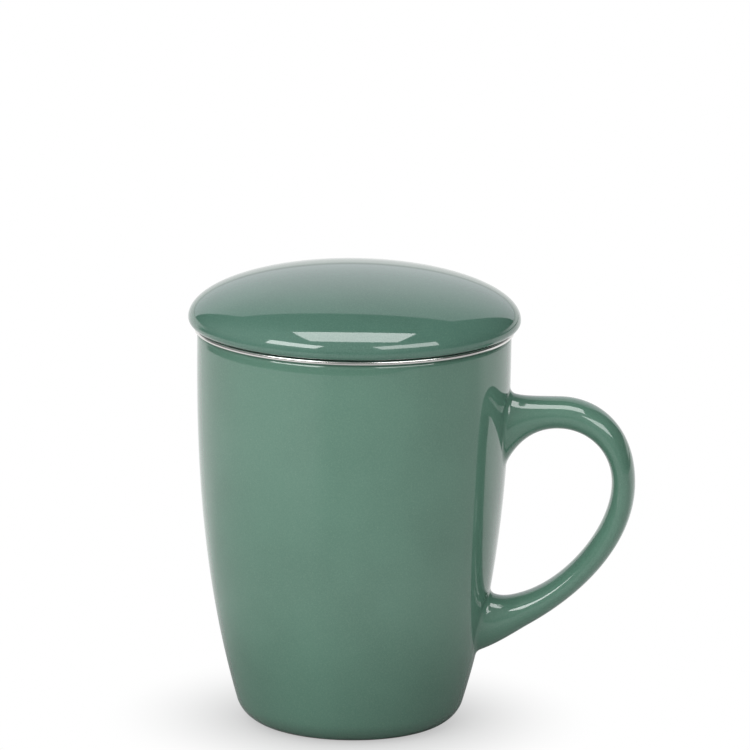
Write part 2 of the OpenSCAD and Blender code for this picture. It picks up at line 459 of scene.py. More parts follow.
def turned(name, profile, sides, material):
    """A closed piece turned from a profile of (radius, height) in millimetres."""
    seed = chain_mesh(name + "_profile", [[(r, 0.0, z) for r, z in profile]])
    tree = shared("Turned form", turned_tree)
    piece = grown(name, seed, tree, {"Sides": sides, "Material": material})
    tidy_mesh(piece)
    return piece


# ---- profiles, all in millimetres ----


def turns(start, end, steps):
    """Angles in radians, in even steps from one angle in degrees to another."""
    return np.radians(np.linspace(start, end, steps + 1))


def arc(centre, radius, start, end, steps):
    """Points of an arc, from one angle in degrees to another."""
    x, z = centre
    return [(x + radius * math.cos(a), z + radius * math.sin(a)) for a in turns(start, end, steps)]


CORNER_ROOM = 0.49  # the most of a side's length that the rounding of one corner takes


def rounded(corners, steps=6):
    """A chain of (x, z, radius) corners with each corner rounded by its radius."""
    made = []
    for i, (x, z, radius) in enumerate(corners):
        here = np.array((x, z))
        if radius == 0 or i in (0, len(corners) - 1):
            made.append((x, z))
            continue
        back = np.array(corners[i - 1][:2]) - here
        on = np.array(corners[i + 1][:2]) - here
        far, near = np.linalg.norm(back), np.linalg.norm(on)
        room = min(radius, CORNER_ROOM * far, CORNER_ROOM * near)
        start = here + back / far * room
        end = here + on / near * room
        for t in np.linspace(0, 1, steps + 1):
            point = (1 - t) ** 2 * start + 2 * t * (1 - t) * here + t * t * end
            made.append(tuple(point))
    return made


BARREL_POWER = 2.55  # how late the wall curves in towards the foot
CORNER_STEPS, WALL_STEPS, LIP_STEPS, BOWL_STEPS, FLOOR_STEPS = 14, 64, 24, 56, 6
FOOT_EDGE, RECESS_ROUND, RING_ROUND = 1.2, 1.2, 0.5  # at the foot ring
DOME_STEPS, EDGE_STEPS, HOLLOW_STEPS, LID_SIDES = 60, 12, 30, 192
SEAT_RUN, RING_ROOT_ROUND, RING_TIP_ROUND = 2, 0.5, 0.7  # at the lid's locating ring
END_STEPS, FLAT_STEPS, BEND_STEPS, FOLD_STEPS, FLANGE_SIDES = 6, 8, 8, 10, 224
LEAST_ROUND = 0.04  # inside the flange's turned-down edge


def body_radius(s, z):
    """Radius of the mug's outer wall at a height, before the foot is rounded."""
    fall = max(0.0, 1 - z / s.height) ** BARREL_POWER
    return s.rim_radius - (s.rim_radius - s.base_radius) * fall


def body_slope(s, z):
    """How fast that radius grows with height."""
    step = 0.01
    return (body_radius(s, z + step) - body_radius(s, z - step)) / (2 * step)


def wall_profile(s, inset, radius, low, top, steps):
    """The wall from its rounded low corner up to a height."""
    made = []
    for t in turns(0, 90, CORNER_STEPS):
        z = low + radius * (1 - math.cos(t))
        made.append((body_radius(s, z) - inset - radius * (1 - math.sin(t)), z))
    for z in np.linspace(low + radius, top, steps + 1)[1:-1]:
        made.append((body_radius(s, z) - inset, z))
    return made


def body_profile(s):
    """Underside, foot ring, outer wall, lip, inner wall and floor, axis to axis."""
    lip = s.height - s.wall / 2
    foot = s.base_radius - s.base_round
    recess = foot - s.foot_width
    under = rounded(
        [
            (0, s.recess, 0),
            (recess - s.recess, s.recess, RECESS_ROUND),
            (recess, 0, RING_ROUND),
            (foot - FOOT_EDGE, 0, 0),
        ]
    )
    outer = wall_profile(s, 0, s.base_round, 0, lip, WALL_STEPS)
    over = arc((body_radius(s, lip) - s.wall / 2, lip), s.wall / 2, 0, 180, LIP_STEPS)
    inner = wall_profile(s, s.wall, s.bowl_round, s.floor, lip, BOWL_STEPS)
    across = [(r, s.floor) for r in np.linspace(inner[0][0], 0, FLOOR_STEPS)[1:]]
    return under + outer + over + inner[::-1] + across


def lid_profile(s):
    """Crown, dome, edge, seat, locating ring and hollow underside, axis to axis."""
    widest = s.crown - s.dome
    seat = widest - s.edge
    under_r, under_z = s.radius - s.wall, seat + s.edge / 4
    under_h = s.crown - s.wall - under_z
    ring_in = s.ring_radius - s.ring
    meet = math.degrees(math.acos(ring_in / under_r))
    dome = [
        (s.radius * math.sin(a), widest + s.dome * math.cos(a))
        for a in turns(0, 90, DOME_STEPS)
    ]
    edge = arc((s.radius - s.edge, widest), s.edge, 0, -90, EDGE_STEPS)[1:]
    meet_z = under_z + under_h * math.sin(math.radians(meet))
    ring = rounded(
        [
            (s.ring_radius + SEAT_RUN, seat, 0),
            (s.ring_radius, seat, RING_ROOT_ROUND),
            (s.ring_radius, seat - s.ring_depth, RING_TIP_ROUND),
            (ring_in, seat - s.ring_depth, RING_TIP_ROUND),
            (ring_in, meet_z, 0),
        ]
    )
    inside = [
        (under_r * math.cos(a), under_z + under_h * math.sin(a))
        for a in turns(meet, 90, HOLLOW_STEPS)
    ][1:]
    return dome + edge + ring + inside


def flange_profile(s):
    """Once round the pressed sheet: collar, bend, flange, turned-down edge and back."""
    top, inner, sheet = s.flange_top, s.collar_radius, s.sheet
    bend = (inner + s.bend, top - s.bend)
    lip_r = s.edge_round
    lip = (s.flange_radius - lip_r, top - lip_r)
    half = sheet / 2
    low = top - s.collar
    made = arc((inner + half, low + half), half, 360, 180, END_STEPS)
    made += [(inner, z) for z in np.linspace(low + half, bend[1], FLAT_STEPS)[1:-1]]
    made += arc(bend, s.bend, 180, 90, BEND_STEPS)
    made += [(r, top) for r in np.linspace(bend[0], lip[0], FLAT_STEPS)[1:-1]]
    made += arc(lip, lip_r, 90, 0, FOLD_STEPS)
    made += arc((s.flange_radius - half, top - s.edge + half), half, 0, -180, END_STEPS)
    made += arc(lip, max(lip_r - sheet, LEAST_ROUND), 0, 90, END_STEPS)
    made += [(r, top - sheet) for r in np.linspace(lip[0], bend[0], FLAT_STEPS)[1:-1]]
    made += arc(bend, s.bend - sheet, 90, 180, END_STEPS)
    return made + [made[0]]


# ---- handle ----

SECTION_POWER = 2.08  # 2 is an ellipse
TAIL_LEAN = math.radians(32)  # the lower arm's outer side against the table
TAIL_SPLAY = math.radians(18.5)  # its inner side
BURY = 2.5  # how far the ends run into the wall
ROOT_SINK, SKIRT_SINK, FOOT_SINK = 1.4, 0.25, 0.03  # the fillet's hidden rings, under the wall
SKIRT_OUT, FILLET_BEND = 1.04, 0.6  # the second ring's reach in fillets, and the fillet's bend


def handle_paths(s):
    """Control points of the loop's outer and inner sides, wall to wall, as cubic curves.

    The plain numbers place each point, in millimetres, from the size beside it.
    """
    top = s.height - s.drop
    bend_z = s.low + s.bend_rise
    crown_x = s.rim_radius + 0.4 * (s.reach - s.rim_radius)
    arm_low, grip_x = top - s.arm, s.reach - s.grip
    low_r, top_r = body_radius(s, s.low), body_radius(s, top)
    lean = np.array((math.cos(TAIL_LEAN), math.sin(TAIL_LEAN)))
    splay = np.array((math.cos(TAIL_SPLAY), math.sin(TAIL_SPLAY)))
    tail_in = np.array((low_r + 0.35 * (s.reach - s.rim_radius), s.low + 2 * s.tail))
    tail_out = tail_in + s.tail * np.array((0.33, -0.95))
    outer = [
        (top_r - BURY + 0.6, top + 3), (top_r, top - 0.6), (top_r + 4, top - 0.1), (crown_x, top),
        (crown_x + 0.55 * (s.reach - crown_x), top), (s.reach, bend_z + 0.64 * (top - bend_z)),
        (s.reach, bend_z), (s.reach, bend_z - 0.33 * s.bend_rise),
        tail_out + 17.4 * lean, tail_out, tail_out - 6 * lean,
        (low_r + 4.4, s.low + 1.6), (low_r - BURY, s.low - 0.2),
    ]
    inner = [
        (body_radius(s, arm_low - 18) - BURY + 0.6, arm_low - 18.3),
        (body_radius(s, arm_low - 8) - 0.4, arm_low - 7.3), (crown_x - 9, arm_low),
        (crown_x, arm_low), (crown_x + 0.54 * (grip_x - crown_x), arm_low),
        (grip_x, bend_z + 0.62 * (arm_low - bend_z)), (grip_x, bend_z + 0.6),
        (grip_x, bend_z - 0.24 * s.bend_rise), tail_in + 13 * splay, tail_in,
        tail_in - 4 * splay, (body_radius(s, s.low + 17) + 1.6, tail_in[1] - 2.0),
        (body_radius(s, s.low + 20) - BURY, tail_in[1] + 1.2),
    ]
    return np.array(outer, float), np.array(inner, float)


def on_path(path, place):
    """Points of a chain of cubic curves at places counted in stretches."""
    stretch = np.minimum(np.floor(place).astype(int), len(path) // 3 - 1)
    t = (place - stretch)[:, None]
    a, b, c, d = (path[3 * stretch + k] for k in range(4))
    return (1 - t) ** 3 * a + 3 * (1 - t) ** 2 * t * b + 3 * (1 - t) * t * t * c + t**3 * d


def handle_lines(s, corners, steps):
    """Lines that run along the handle's skin, one for each corner of its section."""
    outer, inner = handle_paths(s)
    stretches = len(outer) // 3
    place = np.linspace(0, stretches, steps)
    o, n = on_path(outer, place), on_path(inner, place)
    ends = np.clip(1 - place, 0, 1) ** 2 + np.clip(place - (stretches - 1), 0, 1) ** 2
    half_width = s.width / 2 + s.flare * ends
    lines = []
    for k in range(corners):
        a = TAU * k / corners
        across, deep = (
            math.copysign(abs(v) ** (2 / SECTION_POWER), v) for v in (math.sin(a), math.cos(a))
        )
        p = (o + n) / 2 + (o - n) / 2 * deep
        lines.append(np.column_stack((p[:, 0], half_width * across, p[:, 1])))
    return np.array(lines)


def to_wall(s, point, sink=0.0):
    """The point moved straight in or out to the mug's outer wall, or under it by sink."""
    scale = (body_radius(s, point[2]) - sink) / math.hypot(point[0], point[1])
    return np.array((point[0] * scale, point[1] * scale, point[2]))


def wall_normal(s, point):
    """Outward normal of the mug's wall there."""
    flat = math.hypot(point[0], point[1])
    normal = np.array((point[0] / flat, point[1] / flat, -body_slope(s, point[2])))
    return normal / np.linalg.norm(normal)


def crossing(s, line):
    """Place along a line, from its start inside the wall, where it comes out."""
    outside = np.hypot(line[:, 0], line[:, 1]) - [body_radius(s, z) for z in line[:, 2]]
    i = int(np.argmax(outside > 0))
    return i - 1 + outside[i - 1] / (outside[i - 1] - outside[i])


def between(line, place):
    """Points of a line at places counted in points."""
    i = np.minimum(np.floor(place).astype(int), len(line) - 2)
    t = (place - i)[:, None]
    return line[i] * (1 - t) + line[i + 1] * t


def root_rings(s, lines, steps):
    """Rings of a fillet from the wall up onto the handle, and where the handle takes over."""
    places = [crossing(s, line) for line in lines]
    meets = np.array([between(line, np.array([p]))[0] for line, p in zip(lines, places)])
    middle = meets.mean(0)
    rings, starts = [[] for _ in range(steps + 2)], []
    for line, place, meet in zip(lines, places, meets):
        run = np.cumsum(np.linalg.norm(np.diff(line[int(place):], axis=0), axis=1))
        start = int(place) + 1 + int(np.argmax(run > s.fillet))
        normal = wall_normal(s, meet)
        away = (meet - middle) - normal * np.dot(meet - middle, normal)
        away /= np.linalg.norm(away)
        foot = to_wall(s, meet + s.fillet * away)
        starts.append(start)
        near = foot + FILLET_BEND * (meet - foot)
        far = line[start] + FILLET_BEND * (meet - line[start])
        rings[0].append(to_wall(s, meet, ROOT_SINK))
        rings[1].append(to_wall(s, meet + SKIRT_OUT * s.fillet * away, SKIRT_SINK))
        curve = np.array((foot, near, far, line[start]))
        for k, point in enumerate(on_path(curve, np.linspace(0, 1, steps + 1)[:-1])):
            rings[2 + k].append(point if k else to_wall(s, point, FOOT_SINK))
    return rings, starts


def handle_rings(s, corners=96, steps=900, kept=240, fillet_steps=12):
    """All rings of the handle, from inside the wall at the top to inside the wall below."""
    lines = handle_lines(s, corners, steps)
    top, first = root_rings(s, lines, fillet_steps)
    low, last = root_rings(s, lines[:, ::-1], fillet_steps)
    main = []
    for line, a, b in zip(lines, first, last):
        main.append(between(line, np.linspace(a, steps - 1 - b, kept)))
    return top + list(np.array(main).transpose(1, 0, 2)) + low[::-1]


# ---- strainer ----


DRAFT_POWER = 1.6  # how late the basket's wall draws in
BOWL_ROWS, WALL_ROWS = 1199, 500
WALL_SPARE = 0.2  # the cloth stops this far under the bend
SOLVER_STEPS, SOLVER_MISS, SOLVER_NUDGE = 12, 1e-6, 1e-4  # for each crossing of the net
MOST_TURN = 0.1  # in one step of the solver
NEAR_POLE = 3  # within so many pitches the net starts as if flat
EIGHTH_SPARE = 1e-3  # how far past its eighth the net may go
PLEAT_TURN = -math.pi / 4  # from the cloth's own turn
PLEAT_SINK, PLEAT_HALF = 0.8, 0.6  # how deep it is, and how wide to each side
PLEAT_START, PLEAT_IN, PLEAT_END, PLEAT_OUT = 0.5, 1.0, 10.0, 4.0  # depths, and how it fades
PLEAT_SHADE_DEPTH = 5.2  # where its painted shade lies under the flange, darkening the wires of the fold
HEM_WIRES, HEM_CROSSINGS = 348, 10  # wires in each slanting set, and crossings up the hem


class Basket:
    """The woven basket's form: places on it by length from the pole and turn about the axis."""

    def __init__(self, s):
        self.s, self.sunk = s, s.cloth / 2
        self.depth = s.flange_top - BASKET_LOW.z / MM
        rows = []
        for a in turns(90, 0, BOWL_ROWS):
            d = s.bowl_start + (self.depth - s.bowl_start) * math.sin(a)
            rows.append((self.wall(d) * math.cos(a), s.flange_top - d))
        for d in np.linspace(s.bowl_start, s.bend + WALL_SPARE, WALL_ROWS)[1:]:
            rows.append((self.wall(d), s.flange_top - d))
        rows = np.array(rows)
        step = np.gradient(rows, axis=0)
        self.out = np.column_stack((step[:, 1], -step[:, 0]))
        self.out /= np.linalg.norm(self.out, axis=1)[:, None]
        self.rows = rows - self.out * self.sunk
        self.run = np.concatenate(
            ([0.0], np.cumsum(np.linalg.norm(np.diff(self.rows, axis=0), axis=1)))
        )

    def wall(self, d):
        """Outside radius at a depth below the flange."""
        share_down = max(0.0, d - self.s.collar) / (self.s.bowl_start - self.s.collar)
        return self.s.basket_radius - self.s.draft * share_down**DRAFT_POWER

    def place(self, run, turn):
        """Point and outward normal at a length from the pole."""
        i = min(max(bisect.bisect_right(self.run, run) - 1, 0), len(self.run) - 2)
        t = (run - self.run[i]) / (self.run[i + 1] - self.run[i])
        r, z = self.rows[i] + t * (self.rows[i + 1] - self.rows[i])
        return polar(r, turn, z), polar(self.out[i][0], turn, self.out[i][1])


def lay_net(basket, pitch):
    """Places (run, turn) of the crossings of a square net laid on the form, for one eighth.

    Every wire keeps its length between crossings, so the squares lean into diamonds
    where the form closes in. Each crossing is the point one pitch from two earlier ones.
    """
    end = basket.run[-1]
    count = int(end / pitch)
    net = {(i, 0): (i * pitch, 0.0) for i in range(count + 1)}

    def known(i, j):
        if i >= j:
            return net.get((i, j))
        mirrored = net.get((j, i))
        return mirrored and (mirrored[0], math.pi / 2 - mirrored[1])

    def misses(run, turn, *marks):
        here = basket.place(run, turn)[0]
        return [math.dist(here, mark) - pitch for mark in marks]

    for j in range(1, count + 1):
        for i in range(j, count + 1):
            one, two = known(i - 1, j), known(i, j - 1)
            if not (one and two):
                continue
            first, second = basket.place(*one)[0], basket.place(*two)[0]
            corner = known(i - 1, j - 1)
            if corner[0] > NEAR_POLE * pitch:
                run, turn = one[0] + two[0] - corner[0], one[1] + two[1] - corner[1]
            else:
                run, turn = math.hypot(i, j) * pitch, math.atan2(j, i)
            for _ in range(SOLVER_STEPS):
                miss = misses(run, turn, first, second)
                if abs(miss[0]) + abs(miss[1]) < SOLVER_MISS:
                    break
                up = misses(run + SOLVER_NUDGE, turn, first, second)
                side = misses(run, turn + SOLVER_NUDGE, first, second)
                a, c = ((moved - still) / SOLVER_NUDGE for moved, still in zip(up, miss))
                b, d = ((moved - still) / SOLVER_NUDGE for moved, still in zip(side, miss))
                size = a * d - b * c
                run += max(-pitch, min(pitch, (b * miss[1] - d * miss[0]) / size))
                turn += max(-MOST_TURN, min(MOST_TURN, (c * miss[0] - a * miss[1]) / size))
            if run <= end and turn <= math.pi / 4 + EIGHTH_SPARE:
                net[i, j] = (run, turn)
    return net


def crease(s, depth, beside):
    """How far the small pleat under the hem sinks the cloth, in millimetres."""
    starting = min(max((depth - s.bend - PLEAT_START) / PLEAT_IN, 0.0), 1.0)
    ending = min(max((PLEAT_END - depth) / PLEAT_OUT, 0.0), 1.0)
    return PLEAT_SINK * (starting * ending) * math.exp(-((beside / PLEAT_HALF) ** 2))


def hem_wires(s):
    """The folded hem's wires, as chains and lifts: two slanting sets between two edge wires."""
    mid = s.hem_radius - s.cloth / 4
    low, step = s.flange_top - s.bend - s.hem, s.hem / HEM_CROSSINGS

    def wire(angles, rise, ways):
        chain = [polar(mid, a, low + j * rise) for j, a in enumerate(angles)]
        return chain, [polar(v, a) for v, a in zip(ways, angles)]

    made = []
    for way in (1, -1):
        ways = [way * (-1) ** j for j in range(HEM_CROSSINGS + 1)]
        for k in range(HEM_WIRES):
            angles = [TAU * (k + way * j / 2) / HEM_WIRES for j in range(HEM_CROSSINGS + 1)]
            made.append(wire(angles, step, ways))
    angles = [TAU * k / HEM_WIRES for k in range(HEM_WIRES + 1)]
    chain, over = wire(angles, 0.0, [0.0] * (HEM_WIRES + 1))
    made.append((chain, over))
    made.append(([(x, y, z + s.hem) for x, y, z in chain], over))
    return made


def net_wires(s):
    """Both directions' wires, each side of the pole: chains of points with their lifts."""
    basket = Basket(s)
    net = lay_net(basket, s.pitch)
    count = max(i for i, _ in net)

    def crossing_at(i, j):
        a, b = abs(i), abs(j)
        place = net.get((max(a, b), min(a, b)))
        if place is None:
            return None
        turn = place[1] if a >= b else math.pi / 2 - place[1]
        turn = math.pi - turn if i < 0 else turn
        turn = -turn if j < 0 else turn
        point, out = basket.place(place[0], turn + s.turn)
        sunk = crease(s, s.flange_top - point[2], s.basket_radius * (turn - PLEAT_TURN))
        return tuple(p - sunk * n for p, n in zip(point, out)), out

    made = {}
    for name in ("warp", "weft"):
        for line in range(-count, count + 1):
            chain, over = [], []
            for step in range(-count, count + 1):
                i, j = (line, step) if name == "warp" else (step, line)
                found = crossing_at(i, j)
                if found is None:
                    continue
                way = 1 if (i + j) % 2 else -1
                way = way if name == "warp" else -way
                chain.append(found[0])
                over.append([way * v for v in found[1]])
            if len(chain) > 2:
                side = "left" if line < 0 else "right"
                made.setdefault(f"strainer_{name}_{side}", []).append((chain, over))
    return made


def wire_piece(s, name, wires, material):
    """The mesh of some wires, given as chains and lifts, with its map."""
    chains = [chain for chain, _ in wires]
    seed = chain_mesh(name + "_chains", chains, [lift for _, over in wires for lift in over])
    values = {"Wire Diameter": s.wire * MM, "Corners": WIRE_CORNERS, "Material": material}
    piece = grown(name, seed, shared("Woven wire", wire_tree), values)
    wire_map(piece, [len(chain) for chain in chains])
    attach(piece, "infuser")
    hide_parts("infuser_mesh")


# ---- materials ----


# A scale is a noise's waves per metre. A range is where a smooth step starts and ends,
# with its values there if they aren't 0 and 1.
CLOUD_SCALE, CLOUD_RANGE, CLOUD_DEPTH = 38.0, (0.35, 0.7), 0.9
MOTTLE_RATIO, MOTTLE_RANGE = 1.6, (0.35, 0.75, 0.0, 0.22)
DOT_SCALE, DOT_RANGE, DOT_PICK = 1700.0, (0.12, 0.34, 1.0, 0.0), (0.6, 1.0)
DOT_TINT, DOT_ROUGH, DOT_HEIGHT = 0.3, 0.05, 0.03
RIPPLE_SCALE, RIPPLE_STRENGTH, RIPPLE_DEPTH = 75.0, 0.35, 0.03 * MM
GLAZE_IOR = 1.6
FOOT_BARE, LID_BARE = 0.35, 0.05  # bare clay above the foot and above the end of the lid's ring
BARE_SCALE, BARE_WANDER, BARE_RANGE = 260.0, 0.25 * MM, (-0.06 * MM, 0.06 * MM, 1.0, 0.0)
CLAY_SCALE, CLAY_RANGE = 2600.0, (0.3, 0.75, 0.0, 0.35)
CLAY_DARK, CLAY_ROUGH = (0.42, 0.37, 0.30, 1), 0.7
SMEAR_RATIO, SMEAR_RANGE, SMEAR_TONE = 0.06, (0.35, 0.75), (0.88, 0.89, 0.90, 1)
SHEET_MARKS, WIRE_MARKS = 2400.0, 900.0
MARK_ROUGH, SMEAR_ROUGH = 0.08, 0.05
MARK_STRENGTH, MARK_DEPTH = 0.25, 0.004 * MM
# Painted shade in the pleat's fold: the wires there are darkened towards a dark grey, as if in
# shadow.
PLEAT_SHADE_WEIGHTS = (1.0, 0.15, 0.2)  # across the pleat the painted shade fades fastest
PLEAT_SHADE_SCALE, PLEAT_SHADE_WANDER = 1400.0, 1.2 * MM
PLEAT_SHADE_RANGE, PLEAT_SHADE_TONE = (0.5 * MM, 1.5 * MM, 0.7, 0.0), (0.12, 0.12, 0.12, 1.0)


def glaze_group():
    """Colour and height of a speckled glaze, clouded where it lies thicker."""
    t, given, result = new_tree(
        "Glaze surface", "ShaderNodeTree",
        [
            ("Vector", "Place"), ("Color", "Glaze", (0.08, 0.19, 0.13, 1)),
            ("Color", "Deep", (0.07, 0.17, 0.12, 1)), ("Color", "Speck", (0.2, 0.3, 0.25, 1)),
            ("Float", "Speck Scale", DOT_SCALE), ("Float", "Ripple Scale", RIPPLE_SCALE),
        ],
        [("Color", "Colour"), ("Float", "Roughness Shift"), ("Float", "Height")],
    )
    place, speck, scale = given["Place"], given["Speck"], given["Speck Scale"]
    cloud = t.ramp(t.noise(place, CLOUD_SCALE, detail=3.0), *CLOUD_RANGE)
    base = t.blend(cloud, given["Glaze"], given["Deep"])
    fine = t.noise(place, t.times(scale, MOTTLE_RATIO), roughness=0.7)
    base = t.blend(t.ramp(fine, *MOTTLE_RANGE), base, speck)
    cells = t.add("ShaderNodeTexVoronoi", {"Vector": place, "Scale": scale, "Randomness": 1.0})
    pick = t.add("ShaderNodeSeparateColor", {0: cells.outputs["Color"]}).outputs[0]
    dot = t.times(t.ramp(cells.outputs["Distance"], *DOT_RANGE), t.ramp(pick, *DOT_PICK))
    ripple = t.noise(place, given["Ripple Scale"], roughness=0.45)
    t.join(t.blend(t.times(dot, DOT_TINT), base, speck), result["Colour"])
    t.join(t.times(dot, DOT_ROUGH), result["Roughness Shift"])
    t.join(t.plus(ripple, t.times(dot, DOT_HEIGHT)), result["Height"])
    return t.tree


def steel_group():
    """Fine wear on steel: a colour, a roughness and a height from marks along a direction."""
    t, given, result = new_tree(
        "Steel surface", "ShaderNodeTree",
        [
            ("Vector", "Place"), ("Color", "Steel", (0.8, 0.8, 0.8, 1)),
            ("Float", "Least Roughness", 0.1), ("Float", "Mark Scale", 600.0),
        ],
        [("Color", "Colour"), ("Float", "Roughness"), ("Float", "Height")],
    )
    place, scale = given["Place"], given["Mark Scale"]
    marks = t.noise(place, scale, detail=4.0, roughness=0.6)
    smear = t.noise(place, t.times(scale, SMEAR_RATIO))
    dull = t.blend(1.0, given["Steel"], SMEAR_TONE, mode="MULTIPLY")
    rough = t.plus(given["Least Roughness"], t.times(marks, MARK_ROUGH))
    t.join(t.blend(t.ramp(smear, *SMEAR_RANGE), given["Steel"], dull), result["Colour"])
    t.join(t.plus(rough, t.times(smear, SMEAR_ROUGH)), result["Roughness"])
    t.join(marks, result["Height"])
    return t.tree


def opaque(colour_value):
    """A colour with full alpha."""
    return (*colour_value, 1.0)


def new_material(name):
    """An empty node material, its wiring and its Principled node."""
    material = bpy.data.materials.new(name)
    material.use_nodes = True
    wiring = Wiring(material.node_tree)
    shader = next(n for n in material.node_tree.nodes if n.type == "BSDF_PRINCIPLED")
    return material, wiring, shader


def surfaced(t, shader, tone, rough, height, strength, distance):
    """Sets a Principled node's colour and roughness, and its bump from a height."""
    t.join(tone, shader.inputs["Base Color"])
    t.join(rough, shader.inputs["Roughness"])
    values = {"Height": height, "Strength": strength, "Distance": distance}
    t.join(t.add("ShaderNodeBump", values).outputs[0], shader.inputs["Normal"])


def glaze_material(name, looks, tone, bare_below=None):
    """Glossy glaze, with bare clay under a height where one is given."""
    material, t, shader = new_material(name)
    place = t.add("ShaderNodeTexCoord").outputs["Object"]
    values = {
        "Place": place, "Glaze": opaque(tone), "Deep": opaque([CLOUD_DEPTH * v for v in tone]),
        "Speck": opaque(looks.speck), "Speck Scale": DOT_SCALE, "Ripple Scale": RIPPLE_SCALE,
    }
    skin = t.grouped(shared("Glaze surface", glaze_group), values)
    tone, rough = skin["Colour"], t.plus(skin["Roughness Shift"], looks.gloss)
    if bare_below is not None:
        height = t.add("ShaderNodeSeparateXYZ", {0: place}).outputs[2]
        wander = t.times(t.noise(place, BARE_SCALE), BARE_WANDER)
        edge = t.maths("SUBTRACT", t.maths("SUBTRACT", height, wander), bare_below)
        bare = t.ramp(edge, *BARE_RANGE)
        grain = t.ramp(t.noise(place, CLAY_SCALE, detail=3.0), *CLAY_RANGE)
        tone = t.blend(bare, tone, t.blend(grain, opaque(looks.clay), CLAY_DARK))
        rough = t.plus(rough, t.times(bare, CLAY_ROUGH))
    surfaced(t, shader, tone, rough, skin["Height"], RIPPLE_STRENGTH, RIPPLE_DEPTH)
    shader.inputs["IOR"].default_value = GLAZE_IOR
    return material


def steel_material(name, tone, least, scale, turned_marks=False, metal=1.0, pleat_shade_middle=None):
    """Steel whose fine marks run round the axis, or lie at random on wire.

    The last argument is the middle of the pleat, where the wires are darkened with painted shade.
    """
    material, t, shader = new_material(name)
    place = marked = t.add("ShaderNodeTexCoord").outputs["Object"]
    if turned_marks:
        reach = t.vector("LENGTH", t.vector("MULTIPLY", place, (1.0, 1.0, 0.0)))
        height = t.add("ShaderNodeSeparateXYZ", {0: place}).outputs[2]
        marked = t.add("ShaderNodeCombineXYZ", {0: reach, 1: 0.0, 2: height}).outputs[0]
    values = {
        "Place": marked, "Steel": opaque(tone), "Least Roughness": least, "Mark Scale": scale,
    }
    skin = t.grouped(shared("Steel surface", steel_group), values)
    shade = skin["Colour"]
    if pleat_shade_middle:
        # painted shade, darkest in the middle of the pleat's fold
        apart = t.vector("MULTIPLY", t.vector("SUBTRACT", place, pleat_shade_middle), PLEAT_SHADE_WEIGHTS)
        wander = t.times(t.noise(place, PLEAT_SHADE_SCALE), PLEAT_SHADE_WANDER)
        pleat_shade = t.ramp(t.plus(t.vector("LENGTH", apart), wander), *PLEAT_SHADE_RANGE)
        shade = t.blend(pleat_shade, shade, PLEAT_SHADE_TONE)
    surfaced(t, shader, shade, skin["Roughness"], skin["Height"], MARK_STRENGTH, MARK_DEPTH)
    shader.inputs["Metallic"].default_value = metal
    return material


# ---- operators, one for each piece or group of like pieces ----


class MUG_OT_body(bpy.types.Operator):
    """Turn the glazed body with its lip, rounded floor and bare foot ring"""

    bl_idname = "mug.body"
    bl_label = "Glazed body"

    def execute(self, context):
        s = in_mm(context.scene.mug_sizes)
        looks = context.scene.mug_looks
        material = glaze_material("Glaze on the body", looks, looks.glaze, FOOT_BARE * MM)
        piece = turned("mug_body_glazed", body_profile(s), s.sides, material)
        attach(piece, "mug")
        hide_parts("mug_body")
        return {"FINISHED"}


class MUG_OT_handle(bpy.types.Operator):
    """Pull the handle's loop and run its roots out onto the wall"""

    bl_idname = "mug.handle"
    bl_label = "Glazed handle"

    def execute(self, context):
        s = in_mm(context.scene.mug_sizes)
        rings = handle_rings(s)
        around = len(rings[0])
        points = np.array([p for ring in rings for p in ring]) * MM
        faces = [
            (i * around + k, i * around + (k + 1) % around,
             (i + 1) * around + (k + 1) % around, (i + 1) * around + k)
            for i in range(len(rings) - 1)
            for k in range(around)
        ]
        last = (len(rings) - 1) * around
        faces += [tuple(range(around)), tuple(last + k for k in reversed(range(around)))]
        mesh = bpy.data.meshes.new("mug_handle_glazed")
        mesh.from_pydata(points, [], faces)
        piece = bpy.data.objects.new("mug_handle_glazed", mesh)
        context.scene.collection.objects.link(piece)
        looks = context.scene.mug_looks
        mesh.materials.append(glaze_material("Glaze", looks, looks.glaze))
        tidy_mesh(piece)
        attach(piece, "mug")
        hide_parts("mug_handle")
        return {"FINISHED"}


class MUG_OT_flange(bpy.types.Operator):
    """Press the strainer's flange, turned-down edge and collar"""

    bl_idname = "mug.flange"
    bl_label = "Strainer flange"

    def execute(self, context):
        s = in_mm(context.scene.strainer_sizes)
        looks = context.scene.mug_looks
        material = steel_material(
            "Polished steel", looks.steel, least=0.12, scale=SHEET_MARKS, turned_marks=True
        )
        piece = turned("strainer_flange", flange_profile(s), FLANGE_SIDES, material)
        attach(piece, "infuser")
        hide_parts("infuser_rim")
        return {"FINISHED"}


class MUG_OT_cloth(bpy.types.Operator):
    """Weave the basket's wires over the form"""

    bl_idname = "mug.cloth"
    bl_label = "Woven basket"

    def execute(self, context):
        s = in_mm(context.scene.strainer_sizes)
        looks = context.scene.mug_looks
        # the middle of the pleat, where the wires get painted shade
        pleat = polar(s.basket_radius, s.turn + PLEAT_TURN, s.flange_top - PLEAT_SHADE_DEPTH)
        pleat_shade_middle = MM * Vector(pleat)
        drawn = steel_material(
            "Drawn wire", looks.wire, least=0.32, scale=WIRE_MARKS, metal=0.3, pleat_shade_middle=pleat_shade_middle
        )
        for name, wires in net_wires(s).items():
            wire_piece(s, name, wires, drawn)
        folded = steel_material(
            "Folded wire", looks.hem, least=0.3, scale=WIRE_MARKS, metal=0.5, pleat_shade_middle=pleat_shade_middle
        )
        wire_piece(s, "strainer_hem", hem_wires(s), folded)
        return {"FINISHED"}


